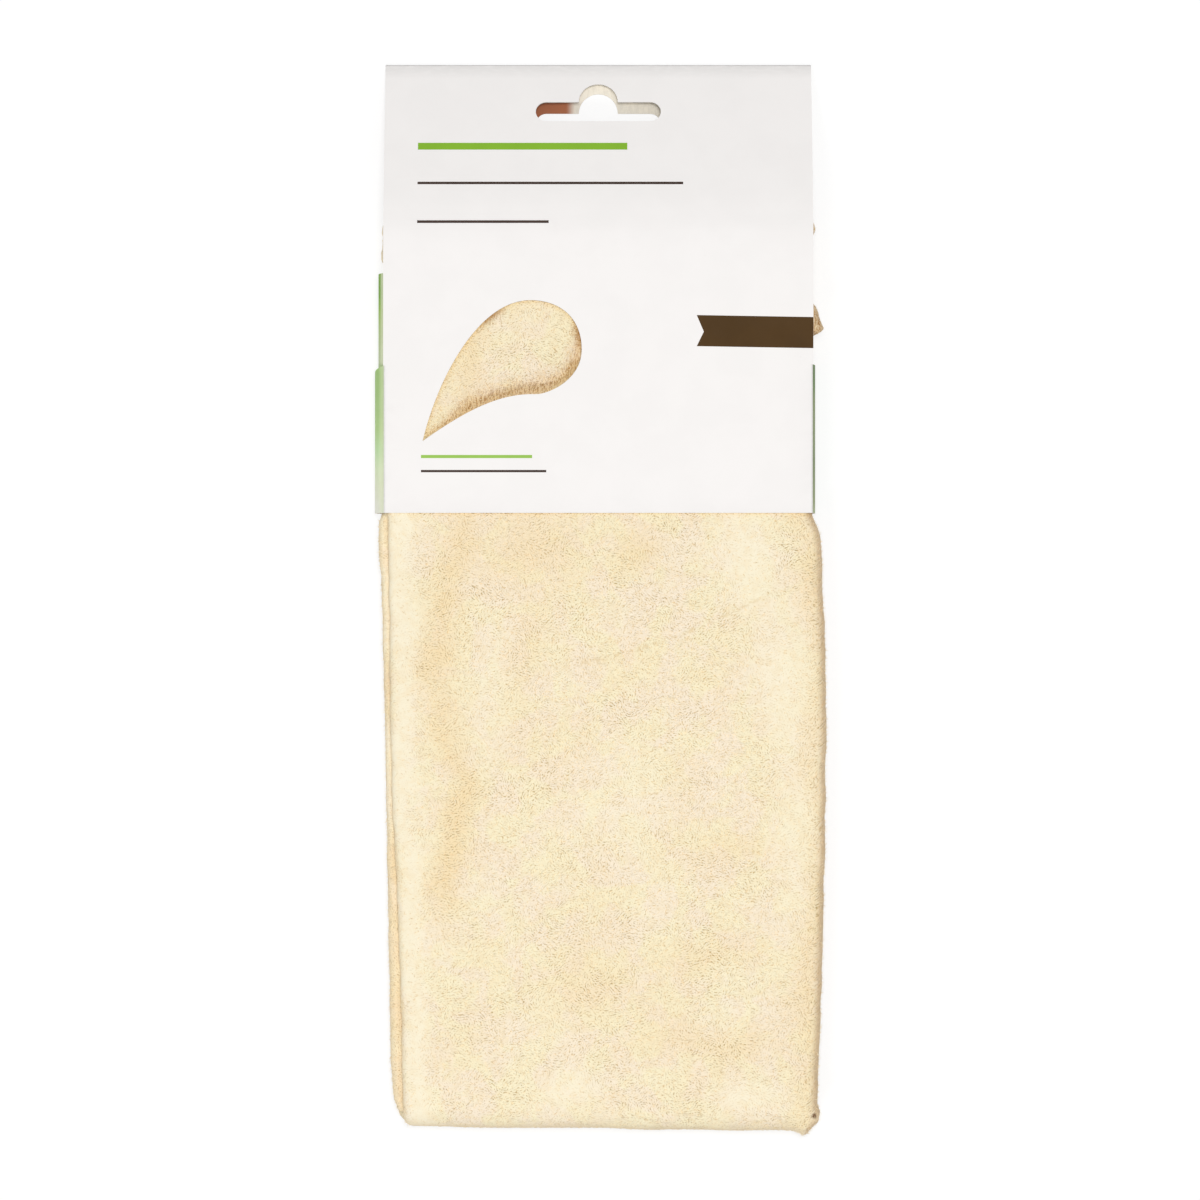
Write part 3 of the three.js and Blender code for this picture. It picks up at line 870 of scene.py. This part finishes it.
def skinMesh(places, stationCount, pointCount):
    vertex = np.arange(len(places)).reshape(stationCount, pointCount, 2)
    top, under = vertex[:, :, 0], vertex[:, :, 1]
    sheets = [
        (top[:-1, :-1], top[1:, :-1], top[1:, 1:], top[:-1, 1:]),
        (under[:-1, :-1], under[:-1, 1:], under[1:, 1:], under[1:, :-1]),
        (top[:-1, 0], under[:-1, 0], under[1:, 0], top[1:, 0]),
        (top[:-1, -1], top[1:, -1], under[1:, -1], under[:-1, -1]),
        (top[0, :-1], top[0, 1:], under[0, 1:], under[0, :-1]),
        (top[-1, :-1], under[-1, :-1], under[-1, 1:], top[-1, 1:]),
    ]
    quads = [np.stack([corner.ravel() for corner in sheet], axis=1) for sheet in sheets]
    mesh = bpy.data.meshes.new("chamoisSkin")
    mesh.from_pydata([tuple(p) for p in places * mm], [], np.vstack(quads).tolist())
    mesh.shade_smooth()
    return mesh


# what the skin shows, in millimetres from the packet's middle
skinTones = {
    # soft patches: place, reach, turn in degrees and strength
    "ochre": [
        (-18.8, 13, 14, 10, 0, 0.65), (9.4, 12, 6, 5, 0, 0.6), (-4.3, -99, 12, 8, 20, 0.6),
        (31, -112, 15, 4, 2, 0.7), (29, -91, 13, 4, 8, 0.5), (35, -64, 9, 4, 0, 0.5),
        (-19, -11, 5, 20, -8, 0.4)],
    "pale": [
        (37, 10, 7, 16, 12, 1.0), (45, -22, 8, 22, 10, 0.9), (48, -62, 5, 26, 0, 0.6),
        (38, -127, 9, 5, 0, 0.8), (-9, -125, 9, 5, 0, 0.7), (-28, -20, 5, 14, 0, 0.4),
        (6, -55, 14, 10, 30, 0.4)],
    "thick": [
        (-3, -99, 15, 8, 20, 1.25), (31, -113, 15, 5, 5, 1.4), (30, -92, 13, 6, 10, 1.2),
        (-14, -84, 14, 9, 0, 1.0), (48.5, 13, 5, 11, 10, 1.4), (6, 4, 9, 9, 0, 1.1)],
    # brown: where painted shadow lies in slivers beside the window's rim
    "brown": [
        (-27.5, 71.2, 5.0, 3.5, 42, 0.5), (-5.4, 67.0, 5.0, 3.5, 92, 0.5),
        (-7.4, 59.5, 4.5, 3.5, 58, 0.4)],
    # an ochre band across the face, from top to bottom
    "bandLine": [
        (20.5, -35.5), (-1.6, -41.0), (-16.9, -43.2), (-29.5, -39.6), (-48.6, -35.6), (-74, -38.8)],
    "bandWidth": 5.0,
    "waver": (3.2, 13),           # how far all these outlines waver, and over what length
    "leftStrip": (3.2, 3.6),      # a smooth strip along the outer fold: place and width
    "wrapStrip": (2.5, 4.5),      # thick nap along the wrap
    "corner": (56, 205, 2.8, 4.5),    # the corner in painted shade: across, up from the lower fold, and its reaches
    "windowReach": 20,            # thick nap under the window
    "creaseStart": (-17.8, -18.4),   # a faint crease, long, bent and broken
    "creaseSlope": 0.11,
    "creaseBend": 3.6,
    "creaseWidth": (0.2, 0.9),       # full and faded out
    "creaseEnds": (16, 52, 72),      # strong from the first to the second, and gone at the third
    "creaseStrength": 0.45,
    "hollow": (54.5, 3.3),           # painted shade in the mouth of the hollow where the wrap and the lower fold meet
    "hollowRadius": (0.1, 1.1),
    "shades": {
        "skin": (255, 240, 216),
        "yellower": (255, 244, 209),
        "ochre": (252, 229, 185),
        "smooth": (255, 245, 218),
        "cloudy": (249, 229, 190),
        "leftSideShade": (255, 236, 200),
        "shadedRightSide": (228, 200, 162),
        "ground": (190, 162, 108),       # painted shadow between strands
        "strandHighlight": (255, 244, 220),        # painted highlight on top of them
        "shaded": (252, 212, 148),
        # painted shadow, as brown fibres
        "brown": (172, 116, 46),
        "crease": (226, 200, 154),
        # painted shade in the hollow
        "hollow": (116, 80, 50),
    },
}


def softPatches(kind, x, y):
    total = np.zeros_like(x)
    for px, py, width, height, turn, strength in skinTones[kind]:
        c, s = math.cos(math.radians(turn)), math.sin(math.radians(turn))
        u, v = (x - px) * c + (y - py) * s, (y - py) * c - (x - px) * s
        total = np.maximum(total, strength * bell(np.hypot(u / width, v / height), 1))
    return total


def paintTones(mesh, places, packet):
    # red: the ochre patches; green: smooth, worn places; blue: where the nap stands open; alpha: where
    # painted shadow goes, beside the window's rim and on the corner
    x, y, z = places.T
    flat = np.stack([x, y, z * 0.5], axis=1)
    brown = softPatches("brown", x - packet.middleX, y)
    waver, size = skinTones["waver"]
    x = x + waver * noiseAt(flat, size, 8) - packet.middleX
    y = y + waver * noiseAt(flat, size, 9)
    along = y - packet.lowestY
    heights, middles = zip(*reversed(skinTones["bandLine"]))
    band = bell(x - np.interp(y, heights, middles), skinTones["bandWidth"])
    band = band * smoothstep(-90, -70, y) * (0.55 + 0.45 * smoothstep(-0.3, 0.3, noiseAt(flat, 9, 4)))
    # worn smooth: along the outer fold, in places, and at the hidden end's left corner
    fromFold = x + edgeWidth("outerLeft", along)
    stripX, width = skinTones["leftStrip"]
    hiddenEnd = smoothstep(mouthY + 45, mouthY + 52, y) * (1 - smoothstep(-53.5, -52, x))
    smooth = np.max([bell(fromFold - stripX, width), softPatches("pale", x, y), hiddenEnd], axis=0)
    smooth = np.clip(smooth + 0.2 * smoothstep(0.0, 0.5, noiseAt(flat, 22, 6)), 0, 1)
    # the nap stands open along the wrap, at the corner that sticks out and under the window
    cornerX, cornerY, reachX, reachY = skinTones["corner"]
    corner = bell(x - cornerX, reachX) * bell(along - cornerY, reachY)
    rim = np.mean(dropWindow(), axis=0)
    window = bell(np.hypot(x - rim[0], y - mouthY - rim[1]), skinTones["windowReach"])
    stripX, width = skinTones["wrapStrip"]
    wrap = bell(x - edgeWidth("right", along) + stripX, width)
    unrubbed = np.max([wrap, corner, 0.8 * window, 1.15 * band, softPatches("thick", x, y)], axis=0)
    nap = 0.5 + 0.5 * smoothstep(-0.35, 0.4, noiseAt(flat, 12, 7))
    nap = np.maximum(nap * (1 - 0.85 * smooth), unrubbed)
    # the corner's painted shade is on the upper half only
    brown = np.maximum(brown, corner * smoothstep(6, 9, z))
    # ochre: the band, patches, corner and wrap, and the inner fold beside the outer one
    beside = (1 - smoothstep(-1.4, -0.2, fromFold)) * (1 - smoothstep(mouthY, mouthY + 6, y))
    ochre = np.max([band, softPatches("ochre", x, y), 0.9 * corner, 0.55 * wrap, 0.6 * beside], axis=0)
    ochre = np.clip(ochre + 0.16 * smoothstep(-0.1, 0.5, noiseAt(flat, 18, 5)), 0, 1)
    tones = np.stack([ochre, smooth, nap, brown], axis=1)
    tone = mesh.color_attributes.new("tone", "FLOAT_COLOR", "POINT")
    tone.data.foreach_set("color", tones.ravel().astype(np.float32))
    return smooth


def strandPattern(place):
    # the nap's strands lie in swirls: a flat pattern, led down the sides too
    heading = reckon("MULTIPLY_ADD", grain(place, 7, 1), 2.8 * math.pi, -0.9 * math.pi)
    warp = node("TexNoise", {"Vector": place, "Scale": 1 / (0.9 * mm), "Detail": 1.0}).outputs["Color"]
    moved = vectorMath("ADD", place, vectorMath("SCALE", warp, scale=0.55 * mm))
    height = axes(place)["Z"]
    led = node("CombineXYZ", {"X": height, "Y": height}).outputs[0]
    gabor = {"Vector": vectorMath("ADD", moved, led), "Scale": 1 / (1.0 * mm), "Frequency": 1.6,
             "Anisotropy": 0.62, "Orientation": heading}
    return node("TexGabor", gabor).outputs["Value"], moved


def creaseMask(place, moved):
    x, y, z = axes(moved)
    startX, startY = skinTones["creaseStart"]
    along = reckon("SUBTRACT", x, startX * mm)
    line = reckon("MULTIPLY_ADD", along, skinTones["creaseSlope"], startY * mm)
    line = reckon("MULTIPLY_ADD", times(along, along), skinTones["creaseBend"], line)
    off = reckon("ABSOLUTE", reckon("SUBTRACT", y, line))
    full, faded = (v * mm for v in skinTones["creaseWidth"])
    strong, fading, gone = (v * mm for v in skinTones["creaseEnds"])
    return times(fall(off, full, faded), spread(along, 0, strong),
                 spread(z, 8 * mm, 10 * mm, 0.0, skinTones["creaseStrength"]),
                 fall(along, fading, gone), spread(grain(place, 1.6, 2), 0.45, 0.6))


def hollowShadeMask(moved):
    # painted shade: a dark spot in the hollow where the wrap and the lower fold meet
    x, y, z = axes(moved)
    aside = reckon("SUBTRACT", x, (Packet().middleX + skinTones["hollow"][0]) * mm)
    above = reckon("SUBTRACT", y, (mouthY - chamois["shown"] + skinTones["hollow"][1]) * mm)
    away = reckon("SQRT", reckon("ADD", times(aside, aside), times(above, above)))
    full, faded = (v * mm for v in skinTones["hollowRadius"])
    return times(fall(away, full, faded), spread(z, 8.5 * mm, 9.5 * mm))


def chamoisMaterial():
    material, shader, place = newMaterial("chamoisNap")
    shades = {name: colour(*shade) for name, shade in skinTones["shades"].items()}
    x, _, z = axes(place)
    painted = addNode(place, "Attribute", attribute_name="tone").outputs
    brown = painted["Alpha"]
    ochre, smooth, nap = node("SeparateColor", {"Color": painted["Color"]}).outputs
    hue = spread(grain(place, 8, 2, 0.5), 0.40, 0.60)
    base = mixColour(hue, shades["skin"], shades["yellower"])
    base = mixColour(ochre, base, shades["ochre"])
    base = mixColour(smooth, base, shades["smooth"])
    cloud = spread(grain(place, 2.4, 3, 0.5), 0.40, 0.68)
    base = mixColour(times(cloud, 0.4), base, shades["cloudy"])

    # how far each place is shut in, and then only by what stands over the skin on its lower side: masks for
    # the painted shade and painted shadow below
    opened = addNode(place, "AmbientOcclusion", {"Distance": 8 * mm}, samples=8).outputs["AO"]
    leaning = vectorMath("ADD", addNode(place, "NewGeometry").outputs["Normal"], (0.1, -0.9, 0))
    leaning = vectorMath("NORMALIZE", leaning)
    lowSide = node("AmbientOcclusion", {"Distance": 9 * mm, "Normal": leaning}, samples=8).outputs["AO"]
    onTop = spread(z, 9.0 * mm, 11.0 * mm)
    lowSide = times(fall(lowSide, 0.51, 0.63), onTop)
    shut = times(fall(opened, 0.45, 0.93), reckon("MULTIPLY_ADD", onTop, 0.75, 0.25),
                 spread(x, -50 * mm, -48 * mm, 0.3, 1.0))

    # painted shade on the sides, and darker on the right one as seen from above
    facing = axes(place.node.outputs["Normal"])
    up = reckon("ABSOLUTE", facing["Z"])
    side = fall(up, 0.25, 0.85)
    shadedRightSide = spread(facing["X"], -0.1, 0.3)
    turned = most(times(spread(up, 0.6, 0.99, 0.85, 0.0), shadedRightSide), times(side, 0.7))
    base = mixColour(turned, base, mixColour(shadedRightSide, shades["leftSideShade"], shades["shadedRightSide"]))

    # painted shadow between the strands, as short dark strokes, more where the skin is shut in; then a
    # painted highlight on the strands
    pattern, moved = strandPattern(place)
    strokes = times(spread(pattern, 0.49, 0.73), spread(grain(place, 0.4, 1), 0.36, 0.54))
    amount = reckon("MULTIPLY_ADD", nap, 0.78, 0.04)
    amount = reckon("ADD", amount, times(shut, 0.5), clamp=True)
    amount = times(amount, reckon("MULTIPLY_ADD", side, -0.45, 1.0))
    base = mixColour(times(strokes, amount), base, shades["ground"])
    base = mixColour(times(spread(pattern, 0.42, 0.22), times(nap, 0.5)), base, shades["strandHighlight"])

    # painted shade: where little light gets in, the skin's colour is tinted warmer and darker; and a
    # painted shadow under the window's lower rim
    base = mixColour(shut, base, mixColour(1.0, base, (0.99, 0.92, 0.80, 1), "MULTIPLY"))
    shade = times(lowSide, spread(opened, 0.46, 0.60))
    base = mixColour(times(shade, 0.55), base, shades["shaded"])

    # painted shadow, as brown fibres: in the band under the window's lower rim, closer together in the
    # slivers beside the card's rim, and on the corner
    fibres = spread(grain(place, 0.3, 1, 0.3, (1, 0.25, 1)), 0.47, 0.55)
    rimShadow = times(spread(brown, 0.1, 0.5), fall(opened, 0.68, 0.86))
    deep = times(lowSide, spread(opened, 0.54, 0.70))
    paintedShadow = times(most(deep, rimShadow, spread(brown, 0.55, 1.0)), most(fibres, most(times(rimShadow, 0.8), 0.15)))
    base = mixColour(times(paintedShadow, 0.9), base, shades["brown"])
    base = mixColour(creaseMask(place, moved), base, shades["crease"])
    base = mixColour(hollowShadeMask(moved), base, shades["hollow"])

    lumps = reckon("MULTIPLY_ADD", pattern, -0.45, grain(place, 1.6, 3, 0.4))
    feed(shader, {"Base Color": base, "Roughness": 0.95, "Specular IOR Level": 0.1, "Sheen Weight": 0.1,
                  "Sheen Roughness": 0.6, "Sheen Tint": (1.0, 0.93, 0.8, 1.0),
                  "Normal": relief(lumps, spread(smooth, 0, 1, 0.7, 0.25), 0.6)})
    return material


# the nap that stands off the skin: thin strands all over what shows of it

napGrowth = {
    "length": 1.0,           # of a strand, in millimetres
    "lengths": (0.5, 1.2),   # and how far single ones fall short of it or pass it
    "thickness": 0.06,       # half width at its root
    "faceDensity": 1.0,      # strands for each square millimetre
    "edgeDensity": 1.7,
    "bareBelow": 1.2,        # what the packet lies on has pressed it flat there
    "swirl": 9,              # neighbours lean much the same way, in slow swirls of that size
    "lean": (1.30, 1.50),    # from upright, in radians
    "standUp": (0.1, 0.9),   # and how much less where the nap stands up
    "seed": 11,
}


def markNap(mesh, places, smooth, stationCount):
    # how thick the nap grows, and how far it may stand up: nothing inside the packet
    names = [name for name, count in sectionRuns for _ in range(count)] + ["layer3"]
    edge = napGrowth["edgeDensity"]
    density = {"layer1": napGrowth["faceDensity"], "wrap": edge, "outerFold": edge, "innerFold": edge}
    row = [[density.get(name, 0.0), 0.0] for name in names]
    stand = [[float(name != "layer1"), 0.0] for name in names]
    thick, stands = (np.tile(values, (stationCount, 1, 1)).ravel() for values in (row, stand))
    _, y, z = places.T
    storeValues(mesh, "napDensity", thick * (z > napGrowth["bareBelow"]) * (1 - 0.7 * smooth))
    inSleeve = smoothstep(mouthY - 4, mouthY, y)
    storeValues(mesh, "napStand", stands * (1 - inSleeve) * smoothstep(1.5, 5, z))


def napTree():
    tree = bpy.data.node_groups.new("growNap", "GeometryNodeTree")
    sockets = {}
    for name, kind in (("Geometry", "Geometry"), ("Length", "Float"), ("Thickness", "Float"),
                       ("Seed", "Int"), ("Material", "Material")):
        made = tree.interface.new_socket(name, in_out="INPUT", socket_type="NodeSocket" + kind)
        sockets[name] = made.identifier
    tree.interface.new_socket("Geometry", in_out="OUTPUT", socket_type="NodeSocketGeometry")
    given = addNode(tree, "NodeGroupInput").outputs

    def attribute(name):
        made = addNode(tree, "GeometryNodeInputNamedAttribute", {"Name": name}, data_type="FLOAT")
        return made.outputs[0]

    def chance(low, high, seed):
        inputs = {2: low, 3: high, "Seed": seed}
        return addNode(tree, "FunctionNodeRandomValue", inputs, data_type="FLOAT").outputs[1]

    def turnedBy(rotation, axis, angle):
        euler = node("CombineXYZ", {axis: angle}).outputs[0]
        turn = node("FunctionNodeEulerToRotation", {0: euler}).outputs[0]
        inputs = {"Rotation": rotation, "Rotate By": turn}
        return node("FunctionNodeRotateRotation", inputs, rotation_space="LOCAL").outputs[0]

    density = times(attribute("napDensity"), 1 / (mm * mm))
    inputs = {"Mesh": given["Geometry"], "Density": density, "Seed": given["Seed"]}
    scattered = node("GeometryNodeDistributePointsOnFaces", inputs).outputs
    position = addNode(tree, "GeometryNodeInputPosition").outputs[0]
    inputs = {"Vector": position, "Scale": 1 / (napGrowth["swirl"] * mm), "Detail": 0.0}
    swirl = node("TexNoise", inputs).outputs[0]
    heading = reckon("ADD", times(swirl, 4 * math.pi), chance(0.7, 2.5, 3))
    standing = times(attribute("napStand"), chance(*napGrowth["standUp"], 5))
    lean = reckon("SUBTRACT", chance(*napGrowth["lean"], 4), standing)
    turned = turnedBy(turnedBy(scattered["Rotation"], "Z", heading), "X", lean)
    inputs = {"Geometry": scattered["Points"], "Name": "strandShade", "Value": chance(0.0, 1.0, 6)}
    points = node("GeometryNodeStoreNamedAttribute", inputs, data_type="FLOAT", domain="POINT").outputs[0]
    inputs = {"Vertices": 3, "Radius Top": 0.0, "Radius Bottom": given["Thickness"],
              "Depth": given["Length"]}
    strand = node("GeometryNodeMeshCone", inputs).outputs["Mesh"]
    sized = node("CombineXYZ", {"X": 1.0, "Y": 1.0, "Z": chance(*napGrowth["lengths"], 7)}).outputs[0]
    inputs = {"Points": points, "Instance": strand, "Rotation": turned, "Scale": sized}
    grown = node("GeometryNodeInstanceOnPoints", inputs).outputs[0]
    grown = node("GeometryNodeRealizeInstances", {"Geometry": grown}).outputs[0]
    painted = node("GeometryNodeSetMaterial", {"Geometry": grown, "Material": given["Material"]}).outputs[0]
    addNode(tree, "NodeGroupOutput", {"Geometry": painted})
    return tree, sockets


def strandMaterial():
    material, shader, place = newMaterial("napStrand")
    shade = addNode(place, "Attribute", attribute_name="strandShade").outputs["Fac"]
    tint = mixColour(spread(shade, 0.55, 0.95), colour(254, 242, 212), colour(214, 198, 158))
    tint = mixColour(spread(grain(place, 2, 2), 0.3, 0.7, 0, 0.5), tint, colour(246, 224, 184))
    feed(shader, {"Base Color": tint, "Roughness": 0.9, "Specular IOR Level": 0.1})
    return material


def growNap(skin):
    tree, sockets = napTree()
    carrier = addObject("napCarrier", skin.data.copy())
    grow = carrier.modifiers.new("growNap", "NODES")
    grow.node_group = tree
    grow[sockets["Length"]] = napGrowth["length"] * mm
    grow[sockets["Thickness"]] = napGrowth["thickness"] * mm
    grow[sockets["Seed"]] = napGrowth["seed"]
    grow[sockets["Material"]] = strandMaterial()
    graph = bpy.context.evaluated_depsgraph_get()
    mesh = bpy.data.meshes.new_from_object(carrier.evaluated_get(graph))
    mesh.name = "chamoisNap"
    bpy.data.objects.remove(carrier)
    print("nap: strands", len(mesh.vertices) // 4, "faces", len(mesh.polygons))
    return addObject("chamois_nap", mesh)


makeCamera()
makeStage()
print("camera, lamps and floor")

sleeve = makeSleeve(sleeveMaterials())
print("card sleeve")

leather = makeLeather(chamoisMaterial())
strands = growNap(leather)
print("chamois leather")

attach(sleeve, "sleeve")
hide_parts("card_front_panel", "card_back_panel", "card_right_wall", "card_left_wall", "card_glue_flap")
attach(leather, "leather")
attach(strands, "leather")
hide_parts("chamois_leather")
